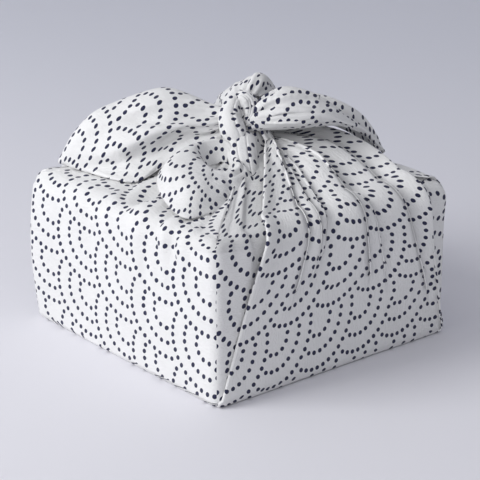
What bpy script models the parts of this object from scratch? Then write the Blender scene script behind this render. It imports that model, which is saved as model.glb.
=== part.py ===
"""Furoshiki wrap: one square cotton cloth, folded round a square box and tied on top.

Metres, +Z up. The origin is the middle of the foot. The pleated front faces -Y, and the
smooth side faces -X. The box inside does not show, so the bundle is one filled solid.
"""
import math

import bmesh
import bpy
import numpy as np

MM = 0.001

# Driving sizes
FOOT = 0.140              # width and depth over the cloth, at the foot
BOX_HEIGHT = 0.0756       # height of the top edges
CORNER_R = 0.0045         # upright edges
SHOULDER_R = 0.0085       # top edges
FOOT_R = 0.0030           # bottom edges
BELLY = 0.0010            # how far each side swells between its edges
CORNER_SWELL = 0.0030     # extra swell of the slack corner at -X, +Y
KNOT_X = 0.003
KNOT_Y = -0.004
COLLAR_R = 0.010          # ring where the gathered cloth goes into the knot
COLLAR_RISE = 0.017       # height of that ring over the top edges
FLAP_LAYER = 0.0014       # step where the outer flap lies on the cloth below
SHEET = 0.0024            # thickness of a tail, two layers of cloth
TAIL_TURN = math.radians(-39.6)   # the tails lie along the box's diagonals
SKIN = 0.0011             # grain of the fused skin
TRIANGLES = 10400

CLOTH_COLOUR = (0.86, 0.86, 0.87, 1.0)
CLOTH_ROUGHNESS = 0.9

OUTWARD = {"front": (0, -1), "right": (1, 0), "back": (0, 1), "left": (-1, 0)}

# Folds of each side, left to right as seen from outside. Each row is the left border of
# one fold: its place at the foot and at the shoulder (mm), how far it turns from the
# straight line to the knot (degrees), the height of the fold's crest (mm), how far down
# the side it reaches (mm), and its layer: 0 is the cloth below, 1 is the outer flap.
FOLDS = {
    "front": (
        (-68.8, -68.8, 0, 1.2, 12, 0),
        (-67.4, -58.0, -2, 4.0, 26, 0),
        (-66.0, -46.0, -4, 3.4, 60, 1),
        (-50.0, -35.0, -2, 2.6, 45, 1),
        (-33.0, -22.0, 2, 3.6, 46, 1),
        (-12.0, -9.0, 5, 3.2, 38, 1),
        (14.0, 5.0, 9, 2.4, 50, 1),
        (28.0, 12.0, 12, 3.4, 52, 1),
        (46.0, 23.0, 15, 3.0, 40, 1),
        (66.0, 34.0, 18, 3.0, 44, 0),
        (67.4, 47.0, 12, 2.4, 34, 0),
        (68.1, 58.0, 6, 1.6, 16, 0),
    ),
    "right": (
        (-68.8, -68.8, 0, 1.5, 22, 0),
        (-36.0, -34.0, 0, 1.8, 18, 0),
        (-6.0, -6.0, 0, 1.6, 20, 0),
        (30.0, 28.0, 0, 1.8, 16, 0),
    ),
    "back": (
        (-68.8, -68.8, 0, 1.4, 12, 0),
        (-67.4, -56.0, -6, 2.4, 22, 0),
        (-66.0, -40.0, -10, 3.0, 50, 1),
        (-46.0, -27.0, -6, 2.8, 44, 1),
        (-24.0, -14.0, -3, 3.4, 40, 1),
        (2.0, 0.0, 0, 3.0, 48, 1),
        (22.0, 12.0, 3, 2.6, 36, 1),
        (44.0, 27.0, 6, 3.2, 46, 1),
        (66.0, 42.0, 8, 2.6, 30, 0),
        (67.4, 56.0, 4, 1.6, 14, 0),
    ),
    "left": (
        (-68.8, -68.8, 0, 0.9, 20, 0),
        (-34.0, -34.0, 0, 0.9, 16, 0),
        (12.0, 10.0, 0, 1.1, 62, 0),
        (34.0, 32.0, 0, 1.0, 58, 0),
    ),
}
FOLD_STEPS = 4            # columns in one fold
FOLD_SHARES = (0.0, 0.36, 0.74, 0.90)   # where across the fold they lie
PLEAT_PEAK = 0.78         # where across a pleat its ridge lies

# How far the folded edges of the front flap stand off near the shoulder (mm)
STAND_OFF = {"front": (3.4, 1.4), "back": (1.2, 1.2)}

# Tails, in sections from the knot outwards. "across" runs to the right of the photo's
# view, and each pair is (towards the viewer, up) for one line along the tail (mm).
LEFT_TAIL = {
    "lines": ("back hem", "back", "crest", "brow", "dip", "belly", "crease", "rim"),
    "sections": (
        (-6, (-3, 103), (-4, 105), (-2, 107), (1, 107), (3, 105), (4, 103), (5, 101), (4, 99)),
        (-14, (-7, 101), (-8, 105), (-5, 109.5), (0, 109), (4, 105.5), (7, 102), (7, 99), (6, 97)),
        (-24, (-12, 98), (-13, 105), (-8, 113), (0, 111), (4, 106), (9, 102), (6, 98), (8, 95)),
        (-34, (-16, 93), (-17, 105), (-10, 115), (0, 112), (3, 106), (11, 101), (7, 94), (12, 89)),
        (-45, (-19, 87), (-20, 101), (-11, 112.7), (0, 109.5), (3, 103.5), (12, 97), (9, 88.5), (16, 81.5)),
        (-57, (-20, 82), (-21, 94), (-12, 108), (-2, 104.5), (2, 99), (9, 91), (7, 83), (12, 79)),
        (-69, (-19, 79), (-20, 88), (-12, 102), (-4, 99), (-1, 93), (2, 86), (2, 80.5), (3, 78.5)),
        (-78, (-16, 79), (-17, 84), (-12, 94), (-7, 92), (-5, 88), (-4, 83), (-4, 80.5), (-4, 79)),
        (-84, (-12, 80.5), (-12, 82), (-10, 86), (-9, 85.5), (-8, 84), (-8, 82.5), (-8.5, 81.5), (-9, 80.5)),
    ),
}
RIGHT_TAIL = {
    "lines": ("hem", "face", "ridge", "under", "fold", "far", "far crest", "back hem"),
    "sections": (
        (5, (3, 109), (6, 107), (8, 104), (7, 101), (4, 99.5), (0, 102), (-3, 107), (-5, 103)),
        (12, (1, 113.5), (7, 109), (10, 104.5), (8, 101.5), (3, 100.3), (-4, 104), (-9, 110), (-13, 102)),
        (21, (0, 117), (8, 111), (12, 106), (9, 102), (3, 100.6), (-7, 107), (-13, 115.5), (-19, 101)),
        (31, (-2, 113.5), (6, 110.5), (12, 107), (9, 102.5), (2, 100.4), (-8, 106.5), (-15, 113), (-23, 98)),
        (41, (-4, 108.8), (3, 109.3), (9, 109), (6, 103.5), (1, 100.2), (-8, 105), (-16, 111), (-26, 94)),
        (50, (-6, 102.8), (-1, 103), (2, 103.5), (0, 101), (-3, 98.5), (-10, 102), (-17, 106.5), (-28, 90)),
        (59, (-12, 96), (-10, 96), (-9, 95.5), (-10, 94), (-12, 92.5), (-15, 95), (-19, 99), (-29, 85)),
        (66, (-17, 87.5), (-16, 87.5), (-15, 87), (-16, 86), (-17, 85), (-19, 87), (-21, 90), (-28, 81)),
        (70, (-20, 81), (-20, 80.9), (-20, 80.7), (-20, 80.4), (-21, 80), (-22, 80.6), (-23, 81.5), (-26, 79.5)),
    ),
}
BACK_TAIL = {
    "lines": ("left hem", "left", "top", "right", "right hem"),
    "sections": (
        (0, (-5, -5, 109), (-3, -3, 112), (1, -2, 113.5), (5, -3, 112), (8, -5, 108)),
        (1, (-7, -10, 110), (-4, -8, 115), (4, -8, 119), (9, -9, 117), (13, -11, 111)),
        (2, (-9, -17, 108), (-4, -16, 114), (7, -15, 120.5), (13, -16, 118), (17, -18, 110)),
        (3, (-12, -28, 102), (-6, -28, 109), (7, -27, 115), (16, -27, 112), (22, -27, 103)),
        (4, (-13, -41, 92), (-6, -42, 99), (6, -41, 104), (16, -40, 101), (23, -39, 92)),
        (5, (-9, -54, 83), (-4, -55, 88), (4, -55, 92), (12, -54, 89), (18, -53, 83)),
        (6, (-3, -66, 79.5), (-1, -67, 81), (3, -67.5, 83), (7, -67, 82), (10, -66, 79.5)),
    ),
}

# The front tail is rolled into a cup that lies on its side. Each row is one line round
# its mouth: angle in plan (degrees), then (distance from the mouth's middle, up) for the
# inside, the rim, the crown and the skirt (mm).
CUP_X = -0.0255
CUP_Y = -0.0165
FRONT_TAIL = (
    (-50, (5, 85), (8, 92.5), (10, 92.5), (13, 88), (15, 80)),
    (-75, (5, 84), (8, 91.5), (11, 91.5), (15, 87), (19, 79)),
    (-98, (5, 83), (8, 90), (12, 89), (17, 84), (21, 78)),
    (-122, (6, 82), (8.5, 89), (14, 87), (21, 82), (26, 77.5)),
    (-145, (6, 82), (9, 89), (19, 86), (31, 81.5), (41, 77)),
    (-170, (6, 83), (9, 91), (17, 91), (29, 87), (34, 79)),
    (-195, (6, 84), (9, 94), (15, 96), (26, 92), (31, 82)),
    (-220, (6, 86), (9, 98), (14, 100), (21, 96), (25, 86)),
    (-245, (6, 88), (9, 100.5), (13, 102), (18, 98), (21, 91)),
    (-275, (6, 89), (9, 101), (13, 102), (17, 99), (19, 93)),
    (-310, (6, 89), (9, 100), (12, 102), (16, 100), (19, 94)),
    (-335, (6, 90), (9, 99), (11, 101.5), (15, 100), (18, 95)),
    (-355, (6.5, 90), (9, 97), (11, 99), (13, 98), (16, 94)),
)

# Straps of the knot: (across, towards, up) of the middle line, half width, crown (mm)
KNOT_STRAPS = {
    "over": (
        (5, -9, 108, 4.0, 2.0),
        (1, -3, 114, 4.6, 2.4),
        (-3, 4, 114.5, 5.2, 2.8),
        (-6, 10, 108.5, 5.6, 3.2),
        (-4.5, 12.5, 101.5, 5.4, 3.2),
        (-1, 11.5, 95.5, 3.6, 2.6),
        (0, 8, 91, 2.4, 1.8),
    ),
    "side": (
        (11, -8, 108, 5.0, 2.0),
        (8.5, -2, 113.5, 5.6, 2.4),
        (6, 4.5, 112, 5.2, 2.4),
        (4.5, 9, 106, 4.0, 2.2),
        (3.5, 9.5, 100, 2.4, 1.8),
    ),
    "down": (
        (2, 6, 99, 3.8, 2.0),
        (2.5, 13, 98.5, 5.2, 2.6),
        (3.5, 20, 95, 5.8, 3.0),
        (3, 28, 89.5, 6.4, 3.2),
        (2, 36, 84, 7.4, 3.2),
        (0, 44, 79.5, 8.0, 2.4),
    ),
}
KNOT_CORE = ((1.5, 2, 102.5), (11, 10.5, 11))    # middle and half sizes (mm)
COLLAR_CORE = ((1, 1.5, 91), (12, 12, 8))

ACROSS = np.array((math.cos(TAIL_TURN), math.sin(TAIL_TURN), 0.0))
TOWARDS = np.array((math.sin(TAIL_TURN), -math.cos(TAIL_TURN), 0.0))
UP = np.array((0.0, 0.0, 1.0))


def foot_point(side, w):
    """Point on the square's rounded outline and the way it faces, w along that side."""
    straight = FOOT / 2 - CORNER_R
    out = np.array(OUTWARD[side], float)
    along = np.array((-out[1], out[0]))
    turn = math.copysign(min(max((abs(w) - straight) / CORNER_R, 0), math.pi / 4), w)
    facing = out * math.cos(turn) + along * math.sin(turn)
    middle = out * straight + along * min(max(w, -straight), straight)
    return middle + CORNER_R * facing, facing


def swell(side, w, z):
    """Outward swell of a side at that height."""
    rise = math.sin(math.pi * min(max(z / BOX_HEIGHT, 0), 1))
    out = BELLY * math.cos(math.pi * w / FOOT * 0.9)
    from_corner = {"left": w + FOOT / 2, "back": FOOT / 2 - w}.get(side)
    if from_corner is not None:
        out += CORNER_SWELL * math.exp(-(from_corner / 0.022) ** 2)
    return out * rise


def column(side, w_foot, w_shoulder, turn, rows):
    """One line of cloth from the knot's collar, over the shoulder, to the foot's middle."""
    knot = np.array((KNOT_X, KNOT_Y))
    edge, facing = foot_point(side, w_shoulder)
    start = edge - SHOULDER_R * facing
    way = start - knot
    heading = math.atan2(way[1], way[0]) + math.radians(turn)
    ray = np.array((math.cos(heading), math.sin(heading)))
    ring = knot + COLLAR_R * ray
    bend = ring + 0.42 * np.linalg.norm(start - ring) * ray
    steep = 1.45 if side in ("front", "back") else 1.9
    points = []
    for t in np.linspace(0, 1, rows["top"], endpoint=False):
        xy = (1 - t) ** 2 * ring + 2 * t * (1 - t) * bend + t * t * start
        puff = 0.0018 * math.sin(math.pi * t) + (0.002 * t if side == "right" else 0)
        points.append((*xy, BOX_HEIGHT + COLLAR_RISE * (1 - t) ** steep + puff))
    for a in np.linspace(0, math.pi / 2, rows["shoulder"], endpoint=False):
        xy = start + SHOULDER_R * math.sin(a) * facing
        lift = 0.002 * math.cos(a) if side == "right" else 0
        points.append((*xy, BOX_HEIGHT - SHOULDER_R * (1 - math.cos(a)) + lift))
    face_top = BOX_HEIGHT - SHOULDER_R
    for z in np.linspace(face_top, FOOT_R, rows["face"], endpoint=False):
        w = w_foot + (w_shoulder - w_foot) * (z / face_top) ** 0.75
        edge, facing = foot_point(side, w)
        points.append((*(edge + swell(side, w, z) * facing), z))
    edge, facing = foot_point(side, w_foot)
    for a in np.linspace(0, math.pi / 2, rows["foot"]):
        xy = edge - FOOT_R * (1 - math.cos(a)) * facing
        points.append((*xy, FOOT_R * (1 - math.sin(a))))
    points.append((*(0.5 * edge), 0.0))
    return points


def fold_columns(side, steps):
    """The columns of one side: border, fraction across its fold, crest, reach, layer."""
    folds = FOLDS[side]
    ends = folds[1:] + ((68.8, 68.8, 0, 0, 0, 0),)
    columns = []
    for left, right in zip(folds, ends):
        crest, reach, layer = left[3:6]
        first = 0.5 / steps * 0.3 if columns and columns[-1][6] != layer else 0
        for share in (first, *FOLD_SHARES[1:]):
            w_foot = left[0] + (right[0] - left[0]) * share
            w_shoulder = left[1] + (right[1] - left[1]) * share
            turn = left[2] + (right[2] - left[2]) * share
            columns.append((w_foot * MM, w_shoulder * MM, turn, share, crest, reach, layer))
        if layer != right[5]:
            columns.append((*[(left[i] + (right[i] - left[i]) * 0.97) * MM for i in (0, 1)],
                            right[2], 0.97, crest, reach, layer))
    return columns


def pleat(share):
    """Section of a pleat that lies over to the right: a flat rise and a short drop."""
    if share < PLEAT_PEAK:
        return math.sin(0.5 * math.pi * share / PLEAT_PEAK) ** 1.1
    return math.cos(0.5 * math.pi * (share - PLEAT_PEAK) / (1 - PLEAT_PEAK)) ** 0.8


def fold_height(share, crest, reach, height, width):
    """How far a fold's cloth stands out, at a share of its width and a height."""
    below = BOX_HEIGHT - SHOULDER_R - height
    if below <= 0:
        fade = 0.62 + 0.5 * min(1.0, max(0.0, height - BOX_HEIGHT) / (0.5 * COLLAR_RISE))
    else:
        fade = 0.62 * max(0.0, 1 - below / (reach * MM)) ** 1.3
    return min(crest * MM * fade, 0.5 * width) * pleat(share)


def wrapped_body():
    """The bundle below the knot: closed grid of columns, with its folds and flaps."""
    rows = {"top": 13, "shoulder": 5, "face": 13, "foot": 4}
    grid = []
    lifts = []
    for side in OUTWARD:
        columns = fold_columns(side, FOLD_STEPS)
        lines = [np.array(column(side, c[0], c[1], c[2], rows)) for c in columns]
        edges = [c[1] for c in columns if c[6] == 1]
        low, high = (edges[0], edges[-1]) if edges else (0, 0)
        for number, (c, line) in enumerate(zip(columns, lines)):
            beside = lines[(number + 1) % len(lines)] if number + 1 < len(lines) else lines[number - 1]
            lift = []
            for row, point in enumerate(line):
                width = np.linalg.norm(beside[row] - point) * FOLD_STEPS
                out = fold_height(c[3], c[4], c[5], point[2], width)
                if c[6] == 1:
                    foot_fade = min(1.0, point[2] / 0.008)
                    out += FLAP_LAYER * foot_fade
                    near = math.exp(-((point[2] - BOX_HEIGHT) / 0.022) ** 2)
                    out += STAND_OFF[side][0] * MM * near * math.exp(-((c[1] - low) / 0.007) ** 2)
                    out += STAND_OFF[side][1] * MM * near * math.exp(-((c[1] - high) / 0.007) ** 2)
                lift.append(out if row < len(line) - 3 else 0.0)
            grid.append(line)
            lifts.append(lift)
    grid = np.array(grid)
    lifts = np.array(lifts)[:, :, None]
    down = np.gradient(grid, axis=1)
    round_ = np.roll(grid, -1, axis=0) - np.roll(grid, 1, axis=0)
    facing = np.cross(down, round_)
    facing /= np.maximum(np.linalg.norm(facing, axis=2, keepdims=True), 1e-12)
    grid = grid + facing * lifts
    return grid


def smooth_rows(keys, steps):
    """Smooth line of points through each row of key points."""
    keys = np.asarray(keys, float)
    padded = np.concatenate((2 * keys[:1] - keys[1:2], keys, 2 * keys[-1:] - keys[-2:-1]))
    out = []
    for i in range(len(keys) - 1):
        a, b, c, d = padded[i:i + 4]
        for t in np.linspace(0, 1, steps, endpoint=False):
            out.append(0.5 * (2 * b + (c - a) * t + (2 * a - 5 * b + 4 * c - d) * t ** 2
                              + (3 * b - a - 3 * c + d) * t ** 3))
    out.append(keys[-1])
    return np.array(out)


def lofted(keys, along, around):
    """Grid of points through a table of sections."""
    grid = smooth_rows(keys, along)
    return np.swapaxes(smooth_rows(np.swapaxes(grid, 0, 1), around), 0, 1)


def placed(across, towards, up):
    """World point from a tail's own directions, in mm."""
    return (ACROSS * across + TOWARDS * towards + UP * up) * MM


def tail_keys(tail):
    """Section points of a tail, in the world."""
    keys = []
    for section in tail["sections"]:
        if len(section[1]) == 3:
            keys.append([placed(*point) for point in section[1:]])
        else:
            keys.append([placed(section[0], *point) for point in section[1:]])
    return np.array(keys)


def cup_keys():
    """Section points of the front tail, in the world."""
    keys = []
    for angle, *ring in FRONT_TAIL:
        a = math.radians(angle)
        keys.append([(CUP_X + r * MM * math.cos(a), CUP_Y + r * MM * math.sin(a), z * MM)
                     for r, z in ring])
    return np.array(keys)


def strap_grid(strap, along, around):
    """Arched band along a middle line, bulging away from the knot's middle."""
    rows = smooth_rows(np.array(KNOT_STRAPS[strap], float), along)
    line = np.array([placed(*row[:3]) for row in rows])
    middle = placed(*KNOT_CORE[0])
    tangent = np.gradient(line, axis=0)
    tangent /= np.linalg.norm(tangent, axis=1, keepdims=True)
    out = line - middle
    if strap == "down":
        out = np.tile(TOWARDS * 0.35 + UP, (len(line), 1))
    out -= tangent * np.sum(out * tangent, axis=1, keepdims=True)
    out /= np.linalg.norm(out, axis=1, keepdims=True)
    across = np.cross(tangent, out)
    share = np.linspace(-1, 1, around)
    half = rows[:, 3, None, None] * MM
    crown = rows[:, 4, None, None] * MM
    arch = (1 - np.abs(share) ** 2.4)[None, :, None]
    return (line[:, None] + across[:, None] * half * share[None, :, None]
            + out[:, None] * crown * (arch - 0.6))


def grid_faces(rows, columns, wrap=False):
    """Faces of a grid of points, closed round its columns if wrapped."""
    last = columns if wrap else columns - 1
    return [(r * columns + c, r * columns + (c + 1) % columns,
             (r + 1) * columns + (c + 1) % columns, (r + 1) * columns + c)
            for r in range(rows - 1) for c in range(last)]


def add_piece(name, points, faces):
    """New mesh object in the scene."""
    mesh = bpy.data.meshes.new(name)
    mesh.from_pydata([tuple(p) for p in points], [], faces)
    mesh.update()
    piece = bpy.data.objects.new(name, mesh)
    bpy.context.collection.objects.link(piece)
    return piece


def closed_body():
    """The wrapped bundle as a closed mesh."""
    grid = np.swapaxes(wrapped_body(), 0, 1)
    rows, columns = grid.shape[:2]
    points = list(grid.reshape(-1, 3))
    faces = grid_faces(rows, columns, wrap=True)
    top = len(points)
    points.append((KNOT_X, KNOT_Y, BOX_HEIGHT + COLLAR_RISE))
    points.append((0.0, 0.0, 0.0))
    for c in range(columns):
        after = (c + 1) % columns
        faces.append((after, c, top))
        base = (rows - 1) * columns
        faces.append((base + c, base + after, top + 1))
    return add_piece("bundle", points, faces)


def thick_sheet(name, grid, thickness):
    """A tail or strap as a sheet with thickness."""
    rows, columns = grid.shape[:2]
    piece = add_piece(name, grid.reshape(-1, 3), grid_faces(rows, columns))
    solidify = piece.modifiers.new("cloth", "SOLIDIFY")
    solidify.thickness = thickness
    solidify.offset = 0
    return piece


def core(name, middle, half):
    """Rounded filling of the knot, where its layers are pulled tight."""
    mesh = bpy.data.meshes.new(name)
    shape = bmesh.new()
    bmesh.ops.create_icosphere(shape, subdivisions=3, radius=1.0)
    for vert in shape.verts:
        x, y, z = vert.co
        vert.co = placed(middle[0] + half[0] * x, middle[1] + half[1] * y, middle[2] + half[2] * z)
    bmesh.ops.recalc_face_normals(shape, faces=shape.faces)
    shape.to_mesh(mesh)
    shape.free()
    piece = bpy.data.objects.new(name, mesh)
    bpy.context.collection.objects.link(piece)
    return piece


def fused(pieces):
    """All forms of the cloth as one mesh."""
    joined = bmesh.new()
    graph = bpy.context.evaluated_depsgraph_get()
    for piece in pieces:
        mesh = piece.evaluated_get(graph).to_mesh()
        joined.from_mesh(mesh)
    for piece in pieces:
        bpy.data.objects.remove(piece)
    bmesh.ops.recalc_face_normals(joined, faces=joined.faces)
    mesh = bpy.data.meshes.new("layers")
    joined.to_mesh(mesh)
    joined.free()
    layers = bpy.data.objects.new("layers", mesh)
    bpy.context.collection.objects.link(layers)
    return layers


def evaluated(piece):
    """Copy of a piece's mesh with its modifiers applied."""
    graph = bpy.context.evaluated_depsgraph_get()
    return bpy.data.meshes.new_from_object(piece.evaluated_get(graph))


def one_skin(layers):
    """One closed skin over all the layers, with few triangles."""
    remesh = layers.modifiers.new("skin", "REMESH")
    remesh.mode = "VOXEL"
    remesh.voxel_size = SKIN
    full = evaluated(layers)
    faces = sum(len(p.vertices) - 2 for p in full.polygons)
    dense = bpy.data.objects.new("dense", full)
    bpy.context.collection.objects.link(dense)
    fewer = dense.modifiers.new("fewer", "DECIMATE")
    fewer.ratio = TRIANGLES / faces
    mesh = evaluated(dense)
    bpy.data.objects.remove(layers)
    bpy.data.objects.remove(dense)
    return mesh


def flat_foot(mesh):
    """Cut the foot flat, close it, and stand it on the floor."""
    shape = bmesh.new()
    shape.from_mesh(mesh)
    level = 0.0006
    whole = shape.verts[:] + shape.edges[:] + shape.faces[:]
    cut = bmesh.ops.bisect_plane(shape, geom=whole, dist=1e-7, plane_co=(0, 0, level),
                                 plane_no=(0, 0, 1), clear_inner=True)
    rim = [e for e in cut["geom_cut"] if isinstance(e, bmesh.types.BMEdge)]
    bmesh.ops.contextual_create(shape, geom=rim)
    bmesh.ops.triangulate(shape, faces=shape.faces[:])
    for vert in shape.verts:
        vert.co.z -= level
    bmesh.ops.recalc_face_normals(shape, faces=shape.faces)
    shape.to_mesh(mesh)
    shape.free()


def cotton():
    """Off-white printed cotton."""
    material = bpy.data.materials.new("cotton")
    material.use_nodes = True
    shader = material.node_tree.nodes["Principled BSDF"]
    shader.inputs["Base Color"].default_value = CLOTH_COLOUR
    shader.inputs["Roughness"].default_value = CLOTH_ROUGHNESS
    shader.inputs["Metallic"].default_value = 0.0
    return material


def build():
    """Model the wrap."""
    for old in list(bpy.data.objects):
        bpy.data.objects.remove(old)
    pieces = [closed_body(), core("knot core", *KNOT_CORE), core("collar", *COLLAR_CORE)]
    for name, tail in (("left tail", LEFT_TAIL), ("right tail", RIGHT_TAIL), ("back tail", BACK_TAIL)):
        pieces.append(thick_sheet(name, lofted(tail_keys(tail), 4, 3), SHEET))
    pieces.append(thick_sheet("front tail", lofted(cup_keys(), 4, 4), SHEET))
    for strap in KNOT_STRAPS:
        pieces.append(thick_sheet(strap, strap_grid(strap, 4, 9), SHEET))
    mesh = one_skin(fused(pieces))
    flat_foot(mesh)
    mesh.shade_smooth()
    mesh.set_sharp_from_angle(angle=math.radians(50))
    wrap = bpy.data.objects.new("furoshiki_wrap", mesh)
    bpy.context.collection.objects.link(wrap)
    mesh.materials.clear()
    mesh.materials.append(cotton())


build()
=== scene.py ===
"""Looks of the furoshiki wrap: pleated printed cotton, tied on top with its four corners."""
import math

import bpy
import numpy as np
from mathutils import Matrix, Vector


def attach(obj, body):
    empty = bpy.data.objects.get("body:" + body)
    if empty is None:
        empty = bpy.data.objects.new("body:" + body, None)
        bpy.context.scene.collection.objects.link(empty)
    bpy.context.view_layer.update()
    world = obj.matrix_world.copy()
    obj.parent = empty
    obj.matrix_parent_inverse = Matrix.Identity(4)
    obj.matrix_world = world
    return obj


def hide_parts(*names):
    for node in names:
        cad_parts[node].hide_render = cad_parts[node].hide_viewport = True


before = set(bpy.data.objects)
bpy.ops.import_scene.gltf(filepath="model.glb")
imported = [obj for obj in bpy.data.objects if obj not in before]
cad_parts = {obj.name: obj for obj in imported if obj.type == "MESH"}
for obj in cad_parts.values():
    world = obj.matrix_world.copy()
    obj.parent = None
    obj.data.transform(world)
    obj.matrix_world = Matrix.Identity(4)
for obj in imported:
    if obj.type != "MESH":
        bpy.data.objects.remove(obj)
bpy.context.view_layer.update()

MM = 0.001
NODE = "furoshiki_wrap"

# Sizes shared with the solid
FOOT = 0.140
BOX_HEIGHT = 0.0756
CORNER_R = 0.0040
SHOULDER_R = 0.0085
SHARP_R = 0.0042          # radius of the top edges at the drawn front left corner
CORNER_REACH = 0.022      # how far along the edges that radius and the corner swell reach
FOOT_R = 0.0025
BELLY = 0.0010
CORNER_SWELL = 0.0030
KNOT_X = 0.003
KNOT_Y = -0.004
COLLAR_R = 0.010
COLLAR_RISE = 0.017
FLAP_LAYER = 0.0014
TAIL_TURN = math.radians(-39.6)
CLOTH = 0.00055           # thickness of the cloth
ROLL_R = 0.0008           # folded edges of the flaps
ROLL_TUCK = 0.002         # spacing of the rows that are turned under
PLEAT_PEAK = 0.78         # where across a soft fold its ridge lies
PLEAT_DROP = 0.0026       # width of the short side of a flap's pleat
PLEAT_LEAN = 1.3          # how far its ridge leans over, to the width of the short side
FACE_END = 69.0           # where the last fold of each side ends, mm
COLUMN_STEP = 2.2         # widest spacing of the under cloth's columns, mm
STAND_REACH = 0.022       # how far above and below the top edge a flap's edge stands off
STAND_WIDTH = 7           # and how far in from that edge, mm
HIDDEN_FROM = 0.0014      # ridge height from which a fold hides all of its cloth
HEM_RISE = 0.0003
HEM_WIDTH = 0.003
GATHER_LENGTH = 0.022
RIPPLE_WAVES = 7

# Rows of the two kinds of draped cloth
UNDER_ROWS = {"top": 34, "shoulder": 8, "face": 34, "foot": 4}
FLAP_ROWS = {"top": 54, "shoulder": 10, "face": 50, "foot": 4}
FLAP_STEPS = 16           # columns of each fold of a flap

# The cloth on top, between the collar and the shoulders
TUCK_ROWS = (1.0, 0.6, 0.25)
TUCK_IN = 0.0045          # how far the rows inside the collar go in
TUCK_UP = 0.0065          # and up
COLLAR_FALL = {"front": 1.45, "right": 1.9, "back": 1.45, "left": 1.9}
TOP_PUFF = 0.0018
TOP_RAISE = {"right": 0.002}
FOOT_SHARES = (0.75, 0.5, 0.25, 0.02)

OUTWARD = {"front": (0, -1), "right": (1, 0), "back": (0, 1), "left": (-1, 0)}

# Cloth below the flaps, by side. Each row is the left border of one soft fold: its place
# along the side (mm), its crest (mm) and how far it reaches down the side (mm).
UNDER_FOLDS = {
    "front": ((-69.0, 0.3, 10), (-59.0, 1.2, 16), (-49.0, 0.3, 12), (-30.0, 0.0, 10),
              (30.0, 1.6, 34), (47.0, 2.4, 30), (58.0, 1.4, 14)),
    "right": ((-69.0, 1.5, 22), (-36.0, 1.8, 18), (-6.0, 1.6, 20), (30.0, 1.8, 16)),
    "back": ((-69.0, 1.2, 12), (-56.0, 2.0, 22), (-42.0, 0.4, 10), (-25.0, 0.0, 10),
             (40.0, 1.8, 26), (56.0, 1.2, 14)),
    "left": ((-69.0, 0.6, 20), (-46.0, 0.9, 16), (-24.0, 1.0, 22), (-4.0, 2.0, 68),
             (21.0, 1.9, 64), (38.0, 1.4, 26), (52.0, 0.8, 18)),
}

# Folds of the outer flaps: place at the foot, below the shoulder and on top of it (mm),
# place round the knot (degrees from +X), bow on the way there (mm), crest (mm) and reach
# down the side (mm). Each row is a fold's left border, and the last is the right edge.
FLAP_FOLDS = {
    "front": (
        (-68.0, -46.0, -38.0, -84, 0.0, 3.2, 34),
        (-40.0, -22.0, -17.5, -60, 0.0, 5.2, 22),
        (-30.0, -15.0, -10.8, -54, 0.5, 3.2, 14),
        (-22.0, -11.0, -5.5, -50, 1.5, 5.8, 32),
        (26.0, 11.0, 11.0, -38, 5.0, 3.4, 40),
        (38.0, 19.0, 15.5, -34, 6.0, 5.8, 52),
        (65.0, 37.5, 31.6, -16, 11.0, 5.6, 66),
        (69.0, 52.5, 47.0, 4, 19.0, 0.0, 0),
    ),
    "back": (
        (-68.0, -44.0, -40.0, 50, 6.0, 3.0, 50),
        (-46.0, -30.0, -27.0, 64, 4.0, 2.8, 44),
        (-24.0, -16.0, -14.0, 76, 2.0, 3.6, 40),
        (2.0, 0.0, 0.0, 88, 0.0, 3.2, 48),
        (22.0, 13.0, 12.0, 100, -2.0, 2.8, 36),
        (44.0, 29.0, 27.0, 112, -4.0, 3.4, 46),
        (68.0, 45.0, 42.0, 124, -6.0, 0.0, 0),
    ),
}
STAND_OFF = {"front": (3.4, 3.0), "back": (1.2, 1.2)}

# Tails, in sections from the knot outwards: across, then (towards, up) for each line (mm)
LEFT_TAIL = (
    (-6, (-3, 103), (-4, 105), (-2, 107), (1, 107),
     (3, 105), (4, 103), (5, 101), (4, 99), (6, 95)),
    (-14, (-7, 101), (-8, 105), (-5, 109.5), (0, 109),
     (4, 105.5), (7, 102), (7, 99), (6, 97), (10, 92.5)),
    (-24, (-12, 98), (-13, 105), (-8, 113), (0, 111),
     (4, 106), (9, 102), (6, 98), (8, 95), (13, 90)),
    (-34, (-16, 93), (-17, 105), (-10, 115), (0, 112),
     (3, 106), (11, 101), (7, 94), (12, 89), (15, 84.5)),
    (-45, (-19, 87), (-20, 101), (-11, 112.7), (0, 109.5),
     (3, 103.5), (12, 97), (9, 88.5), (18.5, 80), (16.5, 78.4)),
    (-57, (-20, 82), (-21, 94), (-12, 108), (-2, 104.5),
     (2, 99), (9, 91), (8, 83), (15.5, 78.8), (14, 77.8)),
    (-69, (-19, 79), (-20, 88), (-12, 102), (-4, 99),
     (-1, 93), (2, 86), (2, 80.5), (3, 78.5), (2.5, 77.6)),
    (-78, (-16, 79), (-17, 84), (-12, 92), (-7, 90), (-5, 86.5),
     (-4, 82.5), (-4, 80.3), (-4, 79), (-4.5, 78)),
    (-83, (-13, 79), (-13, 80.5), (-11, 83.5), (-9.5, 82.8),
     (-8.5, 81.8), (-8, 80.8), (-8, 79.8), (-8.3, 79), (-9, 78.4)),
    (-85, (-11.2, 78.6), (-11.1, 78.8), (-10.8, 79),
     (-10.6, 79), (-10.4, 78.9), (-10.3, 78.8), (-10.3, 78.7),
     (-10.4, 78.6), (-10.5, 78.4)),
)
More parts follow.
